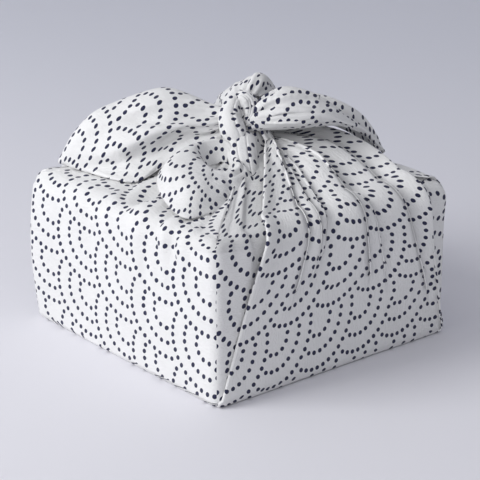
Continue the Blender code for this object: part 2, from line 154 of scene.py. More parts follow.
RIGHT_TAIL = (
    (4, (5, 104), (6.5, 103), (7.2, 101.5), (6.5, 99.8),
     (4, 99), (1.5, 100), (0, 102), (-1, 101)),
    (7.5, (4, 108), (7, 105.8), (9, 103.4), (7.5, 100.8),
     (4, 99.6), (-1, 102), (-4, 106), (-5, 102)),
    (12, (1, 113.5), (7, 109), (10, 104.5), (8, 101.5),
     (3, 100.3), (-4, 104), (-9, 110), (-13, 102)),
    (21, (0, 118), (8, 112.5), (12, 106), (9, 102),
     (3, 100.6), (-7, 107), (-13, 113), (-19, 101)),
    (31, (-2, 116), (6, 111.8), (12, 106.5), (9, 102.2),
     (2, 100.4), (-8, 105.5), (-15, 111.5), (-23, 98)),
    (41, (-3, 111), (3, 109.2), (8.5, 106.3), (6, 102.6),
     (1, 100.2), (-8, 103), (-16, 109.4), (-26, 94)),
    (50, (-5, 104.2), (-1, 103), (2.5, 101.8), (0, 100.2),
     (-3, 98.5), (-10, 100.5), (-17, 105.6), (-28, 90)),
    (59, (-12, 96), (-10, 96), (-9, 95.5), (-10, 94),
     (-12, 92.5), (-15, 95), (-19, 99), (-29, 85)),
    (66, (-17, 87.5), (-16, 87.5), (-15, 87), (-16, 86),
     (-17, 85), (-19, 87), (-21, 90), (-28, 81)),
    (70, (-20, 81), (-20, 80.9), (-20, 80.7), (-20, 80.4),
     (-21, 80), (-22, 80.6), (-23, 81.5), (-26, 79.5)),
)
BACK_TAIL = (
    ((-5.5, -5, 104), (-3, -3, 110), (1, -2, 112.5), (6, -3, 113.3), (10.5, -4.5, 112.5)),
    ((-8.5, -10, 103), (-4.5, -8, 112), (3, -8, 117), (10, -10, 120), (15, -12, 113)),
    ((-10.5, -17, 103), (-5, -16, 112), (5, -15, 118.5), (12, -16, 120), (17.5, -18, 111)),
    ((-12, -28, 102), (-6, -28, 109), (7, -27, 115), (16, -27, 112), (22, -27, 103)),
    ((-13, -41, 92), (-6, -42, 99), (6, -41, 104), (16, -40, 101), (23, -39, 92)),
    ((-9, -54, 83), (-4, -55, 88), (4, -55, 92), (12, -54, 89), (18, -53, 83)),
    ((-3, -66, 79.5), (-1, -67, 81), (3, -67.5, 83), (7, -67, 82), (10, -66, 79.5)),
)

# The front tail, rolled into a cup: angle in plan (degrees), then (distance from the
# mouth's middle, up) for the inside, the rim, the crown and the skirt (mm).
CUP_X = -0.0235
CUP_Y = -0.0150
CUP_MOUTH = 0.020         # the rim's distance from the point of the fan
CUP_FAN = 3.8             # angle of the fan on the flat cloth, radians
CUP_TURN = -0.98          # where the fan starts, radians
CUP_CENTRE = (-0.2172, -0.0075)  # point of the fan on the flat cloth
CUP_STEPS = 12            # rows between two of its sections
TAIL_STEPS = 14           # rows and columns between the points of the other tails
CUP_RIM_COLUMN = TAIL_STEPS
FRONT_TAIL = (
    (-50, (5, 84), (7, 91), (9, 91.5), (12, 88), (15, 80)),
    (-70, (6, 83), (9.5, 89.5), (12, 89.5), (17, 86), (22, 79)),
    (-92, (6.5, 82), (11.5, 89), (14, 88.5), (18, 85), (22, 78.5)),
    (-115, (6.5, 82), (12, 89), (16, 88.3), (22, 84.5), (27, 77.8)),
    (-136, (6, 82), (11, 89.3), (17, 88.8), (28, 84.5), (38, 77.5)),
    (-148, (6, 82), (10, 89.8), (17, 90), (31, 86), (45, 77.5)),
    (-168, (6, 83), (8.6, 90.5), (16, 91.8), (28, 88.5), (36, 79)),
    (-192, (6, 84), (8.2, 91.5), (15, 94), (25, 91), (30, 82)),
    (-215, (6, 85), (8.6, 93), (14, 96), (21, 93), (26, 86)),
    (-240, (6, 86), (9.4, 94.5), (12, 97), (16, 95), (20, 89)),
    (-270, (6, 87), (10, 95.5), (12, 97), (14.5, 95), (17, 90)),
    (-295, (6, 87), (10, 96), (11.5, 97.5), (14, 96), (17, 90)),
    (-320, (6, 88), (10, 95.5), (11.5, 97), (14, 95.5), (17, 90)),
    (-345, (6, 88), (9, 93.5), (10.5, 95), (13, 94), (16, 90)),
)

# Soft troughs (below nought) and ridges, listed one by one: across, towards, up of each point,
# then the height and the width (mm)
CREASES = {
    "under_cloth": (
        (((-26, 31, 81), (-32.4, 33, 79.1), (-40.6, 34.9, 77), (-48.3, 43.6, 75.5)), -3.2, 3.6),
        (((-26, 44, 79), (-29.4, 45.6, 78.2), (-38.5, 47, 77.3), (-45.5, 50.1, 75.3)), 1.6, 1.8),
        (((-22, 55, 78.5), (-25.6, 56.3, 77.6), (-32.7, 62.6, 75.8), (-36.6, 65.8, 70.7),
          (-35.1, 70.1, 53.8), (-33.6, 71.6, 38.6)), -1.8, 2.6),
        (((-14, 70, 78), (-17, 72.9, 76.9), (-24.8, 76.7, 73.6), (-28.9, 75.5, 67.1),
          (-27.1, 78.5, 57.6), (-24.7, 81.1, 44.3)), -1.5, 2.4),
        (((-47, 16, 78), (-49.3, 24.3, 77.1), (-51.4, 34.4, 76.2),
          (-50.6, 45.5, 73.5)), -1.0, 2.2),
    ),
    "front_flap": (
        (((12.4, 12.1, 95), (14.5, 22.3, 92.1), (18.5, 32.5, 89.2), (23.4, 41.5, 85)), -0.7, 1.4),
        (((12.7, 12, 95.3), (19.4, 21.6, 92.3), (25.9, 27.6, 87.2),
          (30.9, 38.7, 83.3)), -0.8, 1.4),
        (((15.9, 11.2, 95), (23.7, 13.7, 91.5), (32.9, 22.6, 90.2),
          (41.1, 28.3, 87.1)), -0.9, 1.5),
        (((20.8, 6.2, 94.3), (30.9, 14.4, 92.8), (40.3, 22.4, 89.4),
          (51.1, 20.4, 84.1)), -0.9, 1.5),
    ),
    "left_tail": (
        (((-8, 2, 105.5), (-12.7, 2.9, 106.5), (-22.6, 4.3, 105.5), (-33.3, 7.5, 103.8),
          (-45, 3.4, 103), (-53, 0.4, 105)), -1.7, 2.8),
        (((-8, 5, 101), (-12.1, 6.9, 100.8), (-23.3, 8.3, 100.5), (-31.8, 6.9, 95.9),
          (-39.3, 9.1, 89.2), (-49.2, 8.8, 88.1)), -1.5, 2.0),
        (((-10, 0, 108), (-16.1, 0.1, 109), (-24.7, 0.3, 110.7), (-33.3, 0.5, 111.8)), -0.8, 1.2),
        (((-72.6, -1.2, 87.8), (-63.1, 5.7, 87.2), (-54.4, 7.8, 85.6),
          (-45, 16.1, 81.6)), 0.9, 2.2),
    ),
    "right_tail": (
        (((5, 5.5, 105), (12, 5, 110.7), (21, 5.5, 114), (30, 3, 113.5)), -2.6, 1.3),
        (((5, 6.8, 103.8), (12, 8.5, 107), (21, 10, 109), (32, 9, 108.8)), -2.4, 1.2),
        (((5, 7.2, 102.6), (12, 9.3, 103.6), (21, 11.6, 104.6), (29, 11.5, 105)), -2.0, 1.0),
        (((6, 6.5, 100.6), (14, 8.6, 101.8), (24, 9.6, 102.2), (33, 8.6, 102.6)), -1.5, 1.2),
        (((9, 3.4, 109.5), (13, 3, 112.5), (21, 2.8, 116.3), (28, 1, 115.5)), -1.6, 1.0),
        (((36, 2, 110), (44, 1, 107), (52, -2, 102)), -0.8, 1.3),
    ),
    "front_tail": (
        (((-5.6, 41.8, 88.8), (-3.1, 47.4, 84.8), (-4.4, 53.6, 80.3)), -0.8, 2.2),
        (((-26, 37.2, 92.9), (-28.2, 46.9, 88), (-25.2, 58.9, 82.3)), -0.6, 3.0),
    ),
}

# Straps of the knot: across, towards, up of the middle line, half width, crown (mm)
KNOT_STRAPS = {
    "knot_over": (
        (5, -7, 112.5, 3.0, 1.6),
        (0.5, -2, 115, 3.2, 2.0),
        (-3.4, 3, 113, 3.6, 2.4),
        (-5.8, 8, 107.5, 4.8, 3.0),
        (-4.9, 12, 102.5, 5.4, 3.2),
        (-2.6, 14, 97, 5.2, 3.2),
        (0.5, 14, 92, 4.2, 2.6),
    ),
    "knot_side": (
        (-5.5, -3, 109, 2.6, 1.4),
        (-2, -2, 113, 3.0, 1.6),
        (3, 1, 115.5, 3.8, 2.2),
        (6.8, 2.5, 112.8, 4.6, 2.6),
        (8, 4.5, 109, 4.4, 2.6),
        (6.8, 6.5, 105.6, 3.2, 2.0),
        (4.4, 6.8, 103, 1.8, 1.2),
        (2.8, 5, 101.5, 1.0, 0.8),
    ),
    "knot_down": (
        (1.0, 7, 99.0, 4.2, 1.8),
        (1.6, 12, 98.8, 5.8, 2.4),
        (1.8, 17.5, 95.4, 6.5, 2.8),
        (2.4, 22, 91.8, 6.5, 3.0),
        (3.6, 27, 88.4, 5.6, 2.8),
        (4.8, 34, 84.2, 4.6, 2.6),
        (5.2, 42, 80.0, 4.2, 2.2),
    ),
}
KNOT_GROOVES = {"knot_over": (3, 0.14), "knot_side": (7, 0.46), "knot_down": (4, 0.16)}
KNOT_CORE = ((1, 0, 103), (7, 5, 8))

# How each tail's cloth lies: its corner on the flat cloth (m) and its lean (degrees)
TAIL_LIE = {
    "left_tail": ((0.0459, 0.1961), 148),
    "right_tail": ((-0.03, -0.22), 205),
    "back_tail": ((0.22, 0.03), 300),
}
# Gathers of each tail, in the order the tails are made: how many and how deep (m)
GATHERS = {"left_tail": (7, 0.0012), "right_tail": (11, 0.0024), "back_tail": (6, 0.0012),
           "front_tail": (4, 0.0006)}

# The print: rows of dotted wave scales, lying askew on the cloth
SCALE_HALF = 22.1         # half the spacing along a row, mm
SCALE_ROW = 16.2          # spacing of the rows, mm
RING_STEP = 7.4           # spacing of the three rings of a scale, mm
RING_ANGLE = 28.8         # angle between dots on the inner ring, degrees
DOT = (1.28, 0.98)        # half sizes of a dot, mm
DOT_LEAN = 28.0           # lean of the dots from the scale's up direction, degrees
PRINT_TURN = 55.7         # up direction of the scales from +X, under the box, degrees
PRINT_SHIFT = (2.8, 2.6)  # where the rows start, along a row and across the rows, mm
ROW_OVERLAP = 1.4         # how far the dots of a row reach up into the next, mm
DOT_EDGE = (0.82, 1.16)   # where a dot's ink starts to fade and ends, to its half size

# How the cloth is drawn out on each smooth side: along the side, and up it
SIDE_STRETCH = {"left": (1.12, 0.95), "right": (1.08, 0.98)}

# How each flap's cloth lies: its width and height to one of the face, its slope across
# the face, and how far it has slipped sideways and down (mm)
FLAP_LIE = {"front": (1.096, 0.906, 0.11, -7.4, 7.5), "back": (1.06, 0.94, -0.05, 3.0, 4.0)}

# Colours of the cloth and of the print
GROUND_DARK = (0.83, 0.83, 0.83, 1.0)
GROUND_LIGHT = (0.93, 0.93, 0.925, 1.0)
INK_DARK = (0.016, 0.018, 0.050, 1.0)
INK_LIGHT = (0.030, 0.034, 0.085, 1.0)
THREAD = 0.45             # spacing of the threads, mm
CREPE_HEIGHT = 0.0006

# Camera: turn and rise in degrees, place to the right, up and back, and focal length in
# pixels of the 480 pixel wide photo
CAMERA_TURN = -39.59
CAMERA_RISE = 19.70
CAMERA_PLACE = (0.001, 0.0404, 0.847)
FOCAL_PIXELS = 1744.0
PHOTO_PIXELS = 480.0
SENSOR = 36.0

# Soft boxes: direction (across, towards, up), distance, size and power
LIGHTS = {
    "key": ((-0.77, 0.25, 0.54), 1.5, 0.8, 12.6),
    "high": ((-0.51, -0.14, 0.85), 1.5, 0.8, 1.2),
    "fill": ((0.0, 1.0, 0.55), 1.6, 1.4, 2.5),
    "side fill": ((-1.0, 0.9, 0.4), 1.6, 1.0, 4.6),
}
LIT_POINT = (0.0, 0.0, 0.05)
AIR_COLOUR = (0.92, 0.93, 1.0, 1.0)
AIR_STRENGTH = 0.40

# Floor: from its front edge to the sweep, the sweep's radius, wall height, half width
FLOOR_FRONT = -1.6
FLOOR_BACK = 0.9
SWEEP_R = 0.5
WALL_TOP = 2.6
FLOOR_HALF = 3.0
# Floor colours near and far: the far colour is painted shade, darker and bluer on the far floor
# and the sweep
FLOOR_NEAR = (0.80, 0.795, 0.84, 1.0)
FLOOR_FAR_PAINTED_SHADE = (0.715, 0.725, 0.785, 1.0)

ACROSS = np.array((math.cos(TAIL_TURN), math.sin(TAIL_TURN), 0.0))
TOWARDS = np.array((math.sin(TAIL_TURN), -math.cos(TAIL_TURN), 0.0))
UP = np.array((0.0, 0.0, 1.0))


# Surfaces
def foot_points(side, w):
    """Points on the square's rounded outline and the way they face, for an array of w."""
    straight = FOOT / 2 - CORNER_R
    out = np.array(OUTWARD[side], float)
    along = np.array((-out[1], out[0]))
    turn = np.sign(w) * np.clip((np.abs(w) - straight) / CORNER_R, 0, math.pi / 4)
    facing = out * np.cos(turn)[..., None] + along * np.sin(turn)[..., None]
    middle = out * straight + along * np.clip(w, -straight, straight)[..., None]
    return middle + CORNER_R * facing, facing


def shoulder_radius(side, w):
    """Radius of the top edge, which is sharper by the front left corner."""
    corner = {"front": -FOOT / 2, "left": FOOT / 2}.get(side)
    if corner is None:
        return np.full(len(w), SHOULDER_R)
    return SHOULDER_R - (SHOULDER_R - SHARP_R) * np.exp(-((w - corner) / CORNER_REACH) ** 2)


def swell(side, w, z):
    """Outward swell of a side at that height, with more by the two drawn out corners."""
    rise = np.sin(math.pi * np.clip(z / BOX_HEIGHT, 0, 1))
    out = BELLY * np.cos(math.pi * w / FOOT * 0.9)
    corner = {"left": -FOOT / 2, "back": FOOT / 2}.get(side)
    if corner is not None:
        out = out + CORNER_SWELL * np.exp(-((w - corner) / CORNER_REACH) ** 2)
    return out * rise


def cloth_lines(side, w_foot, w_shoulder, rows, with_foot, w_top=None, round_knot=None, bow=0.0):
    """Grid of lines from the collar over the shoulder and down the side: row, column."""
    knot = np.array((KNOT_X, KNOT_Y))
    if w_top is None:
        w_top = w_shoulder
    edge, facing = foot_points(side, w_top)
    round_off = shoulder_radius(side, w_top)
    start = edge - round_off[:, None] * facing
    way = start - knot
    heading = np.arctan2(way[:, 1], way[:, 0]) if round_knot is None else np.radians(round_knot)
    ray = np.stack((np.cos(heading), np.sin(heading)), 1)
    ring = knot + COLLAR_R * ray
    if round_knot is None:
        bend = ring + 0.42 * np.linalg.norm(start - ring, axis=1)[:, None] * ray
    else:
        way = start - ring
        aside = np.stack((-way[:, 1], way[:, 0]), 1)
        aside /= np.linalg.norm(aside, axis=1, keepdims=True)
        bend = ring + 0.5 * way + 2 * (bow * MM)[:, None] * aside
    raised = TOP_RAISE.get(side, 0.0)
    lines = []
    for inward in TUCK_ROWS:
        xy = knot + (COLLAR_R - TUCK_IN * inward) * ray
        z = BOX_HEIGHT + COLLAR_RISE + TUCK_UP * inward
        lines.append(np.column_stack((xy, np.full(len(xy), z))))
    for t in np.linspace(0, 1, rows["top"] - len(TUCK_ROWS), endpoint=False):
        xy = (1 - t) ** 2 * ring + 2 * t * (1 - t) * bend + t * t * start
        puff = TOP_PUFF * math.sin(math.pi * t) + raised * t
        z = BOX_HEIGHT + COLLAR_RISE * (1 - t) ** COLLAR_FALL[side] + puff
        lines.append(np.column_stack((xy, np.full(len(xy), z))))
    for a in np.linspace(0, math.pi / 2, rows["shoulder"], endpoint=False):
        edge, facing = foot_points(side, w_top + (w_shoulder - w_top) * a / (math.pi / 2))
        xy = edge + round_off[:, None] * (math.sin(a) - 1) * facing
        z = BOX_HEIGHT - round_off * (1 - math.cos(a)) + raised * math.cos(a)
        lines.append(np.column_stack((xy, z)))
    face_top = BOX_HEIGHT - round_off
    for share in np.linspace(1, 0, rows["face"], endpoint=False):
        z = FOOT_R + (face_top - FOOT_R) * share
        w = w_foot + (w_shoulder - w_foot) * (z / face_top)
        edge, facing = foot_points(side, w)
        xy = edge + swell(side, w, z)[:, None] * facing
        lines.append(np.column_stack((xy, z)))
    edge, facing = foot_points(side, w_foot)
    last = math.pi / 2 if with_foot else math.pi / 4
    for a in np.linspace(0, last, rows["foot"]):
        xy = edge - FOOT_R * (1 - math.cos(a)) * facing
        lines.append(np.column_stack((xy, np.full(len(xy), FOOT_R * (1 - math.sin(a))))))
    if with_foot:
        for share in FOOT_SHARES:
            xy = edge * share
            lines.append(np.column_stack((xy, np.zeros(len(xy)))))
    return np.array(lines)


def normals(grid, wrap=False):
    """Outward direction at each point of a grid of rows and columns."""
    down = np.gradient(grid, axis=0)
    if wrap:
        side = np.roll(grid, -1, axis=1) - np.roll(grid, 1, axis=1)
    else:
        side = np.gradient(grid, axis=1)
    out = np.cross(down, side)
    return out / np.maximum(np.linalg.norm(out, axis=2, keepdims=True), 1e-12)


def pleat(share, peak=PLEAT_PEAK):
    """Section of a pleat that lies over to the right: a flat rise and a short drop."""
    rise = np.sin(0.5 * math.pi * np.clip(share / peak, 0, 1)) ** 1.4
    drop = np.cos(0.5 * math.pi * np.clip((share - peak) / (1 - peak), 0, 1)) ** 0.8
    return np.where(share < peak, rise, drop)


def crest_heights(height, crest, reach, width):
    """How far a fold's ridge stands out, for arrays over the grid."""
    below = BOX_HEIGHT - SHOULDER_R - height
    on_top = 0.8 + 0.3 * np.clip((height - BOX_HEIGHT) / (0.5 * COLLAR_RISE), 0, 1)
    on_side = 0.8 * np.clip(1 - below / (reach * MM + 1e-9), 0, 1)
    return np.minimum(crest * MM * np.where(below <= 0, on_top, on_side), 0.5 * width)


def ripples(points, size, scale, seed):
    """Small uneven swell of slack cloth."""
    rng = np.random.default_rng(seed)
    out = np.zeros(points.shape[:-1])
    for _ in range(RIPPLE_WAVES):
        way = rng.normal(size=3)
        way /= np.linalg.norm(way)
        pitch = scale * rng.uniform(0.6, 1.7)
        out += np.sin(points @ way * 2 * math.pi / pitch + rng.uniform(0, 6.3)) / RIPPLE_WAVES
    return out * size


def spline(keys, steps):
    """Smooth line of points through key points, along the first axis."""
    keys = np.asarray(keys, float)
    padded = np.concatenate((2 * keys[:1] - keys[1:2], keys, 2 * keys[-1:] - keys[-2:-1]))
    out = []
    for i in range(len(keys) - 1):
        a, b, c, d = padded[i:i + 4]
        for t in np.linspace(0, 1, steps, endpoint=False):
            out.append(0.5 * (2 * b + (c - a) * t + (2 * a - 5 * b + 4 * c - d) * t ** 2
                              + (3 * b - a - 3 * c + d) * t ** 3))
    out.append(keys[-1])
    return np.array(out)


def lofted(keys, along, around):
    """Grid of points through a table of sections."""
    grid = spline(keys, along)
    return np.swapaxes(spline(np.swapaxes(grid, 0, 1), around), 0, 1)


def placed(across, towards, up):
    """World point from a tail's own directions, in mm."""
    return (ACROSS * across + TOWARDS * towards + UP * up) * MM


# Meshes, with the place of each point on the flat cloth as the "cloth" map
def sheet_mesh(name, grid, coords, wrap=False):
    """Grid of rows and columns as a mesh. coords has (row, column, end, 2): each face
    column has its own left and right place on the flat cloth, so folds can hide cloth."""
    rows, columns = grid.shape[:2]
    spans = columns if wrap else columns - 1
    faces = []
    places = []
    for r in range(rows - 1):
        for c in range(spans):
            after = (c + 1) % columns
            faces.append((r * columns + c, (r + 1) * columns + c,
                          (r + 1) * columns + after, r * columns + after))
            places += (coords[r, c, 0], coords[r + 1, c, 0], coords[r + 1, c, 1], coords[r, c, 1])
    mesh = bpy.data.meshes.new(name)
    mesh.from_pydata(grid.reshape(-1, 3).tolist(), [], faces)
    layer = mesh.uv_layers.new(name="cloth")
    layer.data.foreach_set("uv", np.array(places, dtype=np.float32).ravel())
    mesh.update()
    piece = bpy.data.objects.new(name, mesh)
    bpy.context.collection.objects.link(piece)
    mesh.shade_smooth()
    return piece


def thickened(piece, thickness, offset=-1.0):
    """Give the cloth its thickness."""
    solid = piece.modifiers.new("thickness", "SOLIDIFY")
    solid.thickness = thickness
    solid.offset = offset
    solid.use_even_offset = False
    return piece


def arc_lengths(grid, axis):
    """Distance along a grid's lines from their first point."""
    step = np.linalg.norm(np.diff(grid, axis=axis), axis=2)
    pad = [(0, 0), (0, 0)]
    pad[axis] = (1, 0)
    return np.pad(np.cumsum(step, axis=axis), pad)


def both_ends(flat):
    """Left and right place on the flat cloth of each column of faces."""
    return np.stack((flat[:, :-1], flat[:, 1:]), 2)


def under_cloth():
    """The cloth next to the box: the two smooth sides and what shows beside the flaps."""
    parts = []
    for side in OUTWARD:
        folds = UNDER_FOLDS[side]
        cols = []
        for left, right in zip(folds, folds[1:] + ((FACE_END, 0, 0),)):
            steps = max(8, round((right[0] - left[0]) / COLUMN_STEP))
            cols += [((left[0] + (right[0] - left[0]) * i / steps) * MM, i / steps, *left[1:])
                     for i in range(steps)]
        cols = np.array(cols)
        parts.append((side, cols, cloth_lines(side, cols[:, 0], cols[:, 0], UNDER_ROWS, True)))
    share, crest, reach = np.concatenate([cols for _, cols, _ in parts])[:, 1:].T
    grid = np.concatenate([lines for _, _, lines in parts], axis=1)
    facing = normals(grid, wrap=True)
    lift = crest_heights(grid[:, :, 2], crest[None], reach[None], 0.02) * pleat(share)
    around_knot = np.linalg.norm(grid[:, :, :2] - (KNOT_X, KNOT_Y), axis=2)
    lift *= np.clip(around_knot / 0.03, 0.25, 1)
    lift += ripples(grid, 0.00035, 0.05, 3) * np.clip(grid[:, :, 2] / 0.01, 0, 1)
    face_end = UNDER_ROWS["top"] + UNDER_ROWS["shoulder"] + UNDER_ROWS["face"]
    lift[face_end:] = 0
    grid = creased("under_cloth", grid + facing * lift[..., None], True)
    coords = []
    first = 0
    for side, cols, _ in parts:
        take = np.arange(first, first + len(cols) + 1) % grid.shape[1]
        coords.append(side_coords(side, grid[:, take], face_end))
        first += len(cols)
    piece = sheet_mesh("under_cloth", grid, np.concatenate(coords, axis=1), wrap=True)
    return thickened(piece, CLOTH)


def side_coords(side, patch, face_end):
    """Places on the flat cloth for one side: across from its middle line, up from the foot."""
    middle = patch.shape[1] // 2
    across = arc_lengths(patch, 1)
    across = across - across[:, middle:middle + 1]
    run = arc_lengths(patch, 0)[:, middle]
    up = np.broadcast_to((run[face_end] - run)[:, None], across.shape)
    if side in ("front", "back"):
        # The narrow strips by the corners go on from the smooth sides round the edge
        sign = np.where(np.arange(patch.shape[1]) < middle, -1, 1)
        turned = 1 if side == "front" else -1
        beside = ["left" if s * turned < 0 else "right" for s in sign]
        wide, tall = np.array([SIDE_STRETCH[name] for name in beside]).T
        from_corner = np.where(sign < 0, across - across[:, :1], across[:, -1:] - across)
        x = turned * sign * (FOOT / 2 + up / tall)
        y = -turned * (FOOT / 2 + from_corner) / wide
    else:
        turned = 1 if side == "right" else -1
        wide, tall = SIDE_STRETCH[side]
        x = turned * (FOOT / 2 + up / tall)
        y = turned * across / wide
    flat = np.stack((x, y), 2)
    below = np.arange(len(run)) > face_end
    flat[below] = patch[below][:, :, :2]
    return both_ends(flat)


def flap(side):
    """An outer flap: pulled up over the side and pleated into the knot."""
    folds = FLAP_FOLDS[side]
    steps = FLAP_STEPS
    cols = []
    for number, (left, right) in enumerate(zip(folds, folds[1:])):
        peak = float(np.clip(1 - PLEAT_DROP / MM / (right[2] - left[2]), 0.66, 0.9))
        for s in np.concatenate((np.linspace(0, peak, steps // 2, endpoint=False),
                                 np.linspace(peak, 1, steps - steps // 2, endpoint=False))):
            cols.append([left[k] + (right[k] - left[k]) * s for k in range(5)]
                        + [s, left[5], left[6], number, peak])
    cols.append([*folds[-1][:5], 1.0, folds[-2][5], folds[-2][6], len(folds) - 2, 0.9])
    cols = np.array(cols, float)
    flat = cloth_lines(side, cols[:, 0] * MM, cols[:, 1] * MM, FLAP_ROWS, False,
                       cols[:, 2] * MM, cols[:, 3], cols[:, 4])
    facing = normals(flat)
    height = flat[:, :, 2]
    step = np.linalg.norm(np.diff(flat, axis=1), axis=2)
    widths = np.add.reduceat(step, np.arange(0, step.shape[1], steps), axis=1)
    width = widths[:, np.clip(cols[:, 8].astype(int), 0, widths.shape[1] - 1)]
    ridge = crest_heights(height, cols[None, :, 6], cols[None, :, 7], width)
    share, peak = cols[None, :, 5], cols[None, :, 9]
    crest = ridge * pleat(share, peak)
    over = np.where(share < peak, (share / peak) ** 3, (1 - share) / (1 - peak))
    over = over * PLEAT_LEAN * (1 - peak) * width * np.clip(ridge / 0.0012, 0, 1)
    over[:, -steps:] = 0
    sideways = np.gradient(flat, axis=1)
    sideways /= np.linalg.norm(sideways, axis=2, keepdims=True)
    lift = crest + (FLAP_LAYER + 0.0004) * np.clip(height / 0.006 + 0.3, 0, 1)
    near = np.exp(-((height - BOX_HEIGHT) / STAND_REACH) ** 2)
    for stand, edge in zip(STAND_OFF[side], (folds[0][1], folds[-1][1])):
        lift += stand * MM * near * np.exp(-((cols[:, 1] - edge) / STAND_WIDTH) ** 2)
    lift += ripples(flat, 0.0004, 0.045, 11 if side == "front" else 12)
    name = side + "_flap"
    grid = creased(name, flat + facing * lift[..., None] + sideways * over[..., None])
    grid, coords = rolled_edges(grid, flap_coords(side, grid, cols, ridge))
    return thickened(sheet_mesh(name, grid, coords), CLOTH)


def flap_coords(side, grid, cols, crest):
    """Places on the flat cloth for a flap, fold by fold, with cloth hidden in the creases."""
    rows, count = grid.shape[:2]
    run = arc_lengths(grid, 0)
    up = run[-1:] - run
    top = grid[:, :, 2].max(axis=1)
    spread = 1 + 0.34 * np.clip((top - 0.030) / 0.040, 0, 1) ** 1.5
    wide, tall, slope, aside, slip = FLAP_LIE[side]
    level = np.clip(grid[:, :, 2] / (BOX_HEIGHT - SHOULDER_R), 0, 1)
    flat_w = (cols[:, 0] + (cols[:, 1] - cols[:, 0]) * level) * MM * spread[:, None]
    coords = np.empty((rows, count - 1, 2, 2))
    for a in range(0, count - 1, FLAP_STEPS):
        b = a + FLAP_STEPS
        patch = grid[:, a:b + 1]
        real = arc_lengths(patch, 1)
        whole = real[:, -1:]
        room = flat_w[:, b:b + 1] - flat_w[:, a:a + 1]
        deep = np.clip(crest[:, a:b].max(axis=1) / HIDDEN_FROM, 0, 1)[:, None]
        used = room + (whole - room) * deep
        middle = 0.5 * (flat_w[:, a:a + 1] + flat_w[:, b:b + 1])
        u = middle + (real / whole - 0.5) * used
        v = FOOT / 2 + slip * MM + up[:, a:b + 1] * tall - slope * u
        u = u * wide + aside * MM
        place = np.stack((u, -v), 2) if side == "front" else np.stack((-u, v), 2)
        coords[:, a:b, 0] = place[:, :-1]
        coords[:, a:b, 1] = place[:, 1:]
    return coords


def rolled_edges(grid, coords):
    """Turn the flap's two side edges under in a small roll."""
    facing = normals(grid)
    before, after = [], []
    for end, beside, bag in ((0, 1, before), (-1, -2, after)):
        way = grid[:, end] - grid[:, beside]
        way /= np.linalg.norm(way, axis=1, keepdims=True)
        edge, out = grid[:, end], facing[:, end]
        for a in np.linspace(0, math.pi, 7)[1:]:
            bag.append(edge + way * ROLL_R * math.sin(a) - out * ROLL_R * (1 - math.cos(a)))
        for inward in (ROLL_TUCK, 2 * ROLL_TUCK):
            bag.append(edge - way * inward - out * ROLL_R * 2.1)
    extra = len(before)
    steps = np.array([ROLL_R * math.pi / 6] * 6 + [ROLL_TUCK] * 2)
    reach = np.concatenate(([0], np.cumsum(steps)))
    lead = np.empty((len(grid), extra, 2, 2))
    tail = np.empty((len(grid), extra, 2, 2))
    unit = np.sign(coords[:, 1, 0] - coords[:, 0, 0])
    unit[:, 1] = 0
    for i in range(extra):
        lead[:, extra - 1 - i, 1] = coords[:, 0, 0] - unit * reach[i]
        lead[:, extra - 1 - i, 0] = coords[:, 0, 0] - unit * reach[i + 1]
        tail[:, i, 0] = coords[:, -1, 1] + unit * reach[i]
        tail[:, i, 1] = coords[:, -1, 1] + unit * reach[i + 1]
    grid = np.concatenate((np.stack(before[::-1], 1), grid, np.stack(after, 1)), axis=1)
    return grid, np.concatenate((lead, coords, tail), axis=1)


def gathers(grid, folds, size, seed):
    """Fine pleats that fan out of the knot along a tail."""
    rng = np.random.default_rng(seed)
    borders = np.linspace(0, 1, folds + 1) + rng.uniform(-0.25, 0.25, folds + 1) / folds
    borders[0], borders[-1] = 0, 1
    across = np.linspace(0, 1, grid.shape[1])
    fold = np.clip(np.searchsorted(borders, across, side="right") - 1, 0, folds - 1)
    share = (across - borders[fold]) / (borders[fold + 1] - borders[fold])
    bump = np.sin(math.pi * np.clip(share, 0, 1)) ** 0.8 - 0.6
    strength = rng.uniform(0.6, 1.3, folds)[fold]
    reach = GATHER_LENGTH * rng.uniform(0.6, 1.5, folds)[fold]
    run = arc_lengths(grid, 0)
    fade = np.exp(-(run / reach[None]) ** 1.5)
    return normals(grid) * (bump * strength * size * fade)[..., None]


def creased(name, grid, wrap=False):
    """Lay the troughs and ridges of that piece's table over its grid."""
    for line, height, width in CREASES.get(name, ()):
        keys = np.array([placed(*point) for point in line])
        marks = spline(keys, 10)
        share = np.linspace(0, 1, len(marks))
        apart = np.linalg.norm(grid[:, :, None] - marks, axis=3)
        nearest = apart.argmin(axis=2)
        fade = np.sin(math.pi * (0.06 + 0.88 * share[nearest])) ** 0.6
        lift = height * MM * fade * np.exp(-(apart.min(axis=2) / (width * MM)) ** 2)
        grid = grid + normals(grid, wrap) * lift[..., None]
    return grid


def cup_coords(grid):
    """Places on the flat cloth for the rolled tail, laid out as the fan it is cut from."""
    across = arc_lengths(grid, 1)
    out = CUP_MOUTH + across - across[:, CUP_RIM_COLUMN:CUP_RIM_COLUMN + 1]
    turn = CUP_TURN + np.linspace(0, CUP_FAN, len(grid))[:, None]
    flat = np.stack((CUP_CENTRE[0] + out * np.cos(turn), CUP_CENTRE[1] + out * np.sin(turn)), 2)
    return both_ends(flat)


def tail_coords(grid, corner, lean):
    """Places on the flat cloth for a tail whose tip is at the end of its rows."""
    middle = grid.shape[1] // 2
    run = arc_lengths(grid, 0)[:, middle:middle + 1]
    across = arc_lengths(grid, 1)
    across = across - across[:, middle:middle + 1]
    reach = np.abs(across).max(axis=1)
    widest = np.abs(across).max(axis=0, keepdims=True)
    early = (np.arange(len(grid)) < reach.argmax())[:, None]
    share = 0.45
    across = np.where(early, across * (1 - share) + np.sign(across) * widest * share, across)
    a = math.radians(lean)
    u = corner[0] + across * math.cos(a) - run * math.sin(a)
    v = corner[1] + across * math.sin(a) + run * math.cos(a)
    return both_ends(np.stack((u, v), 2))


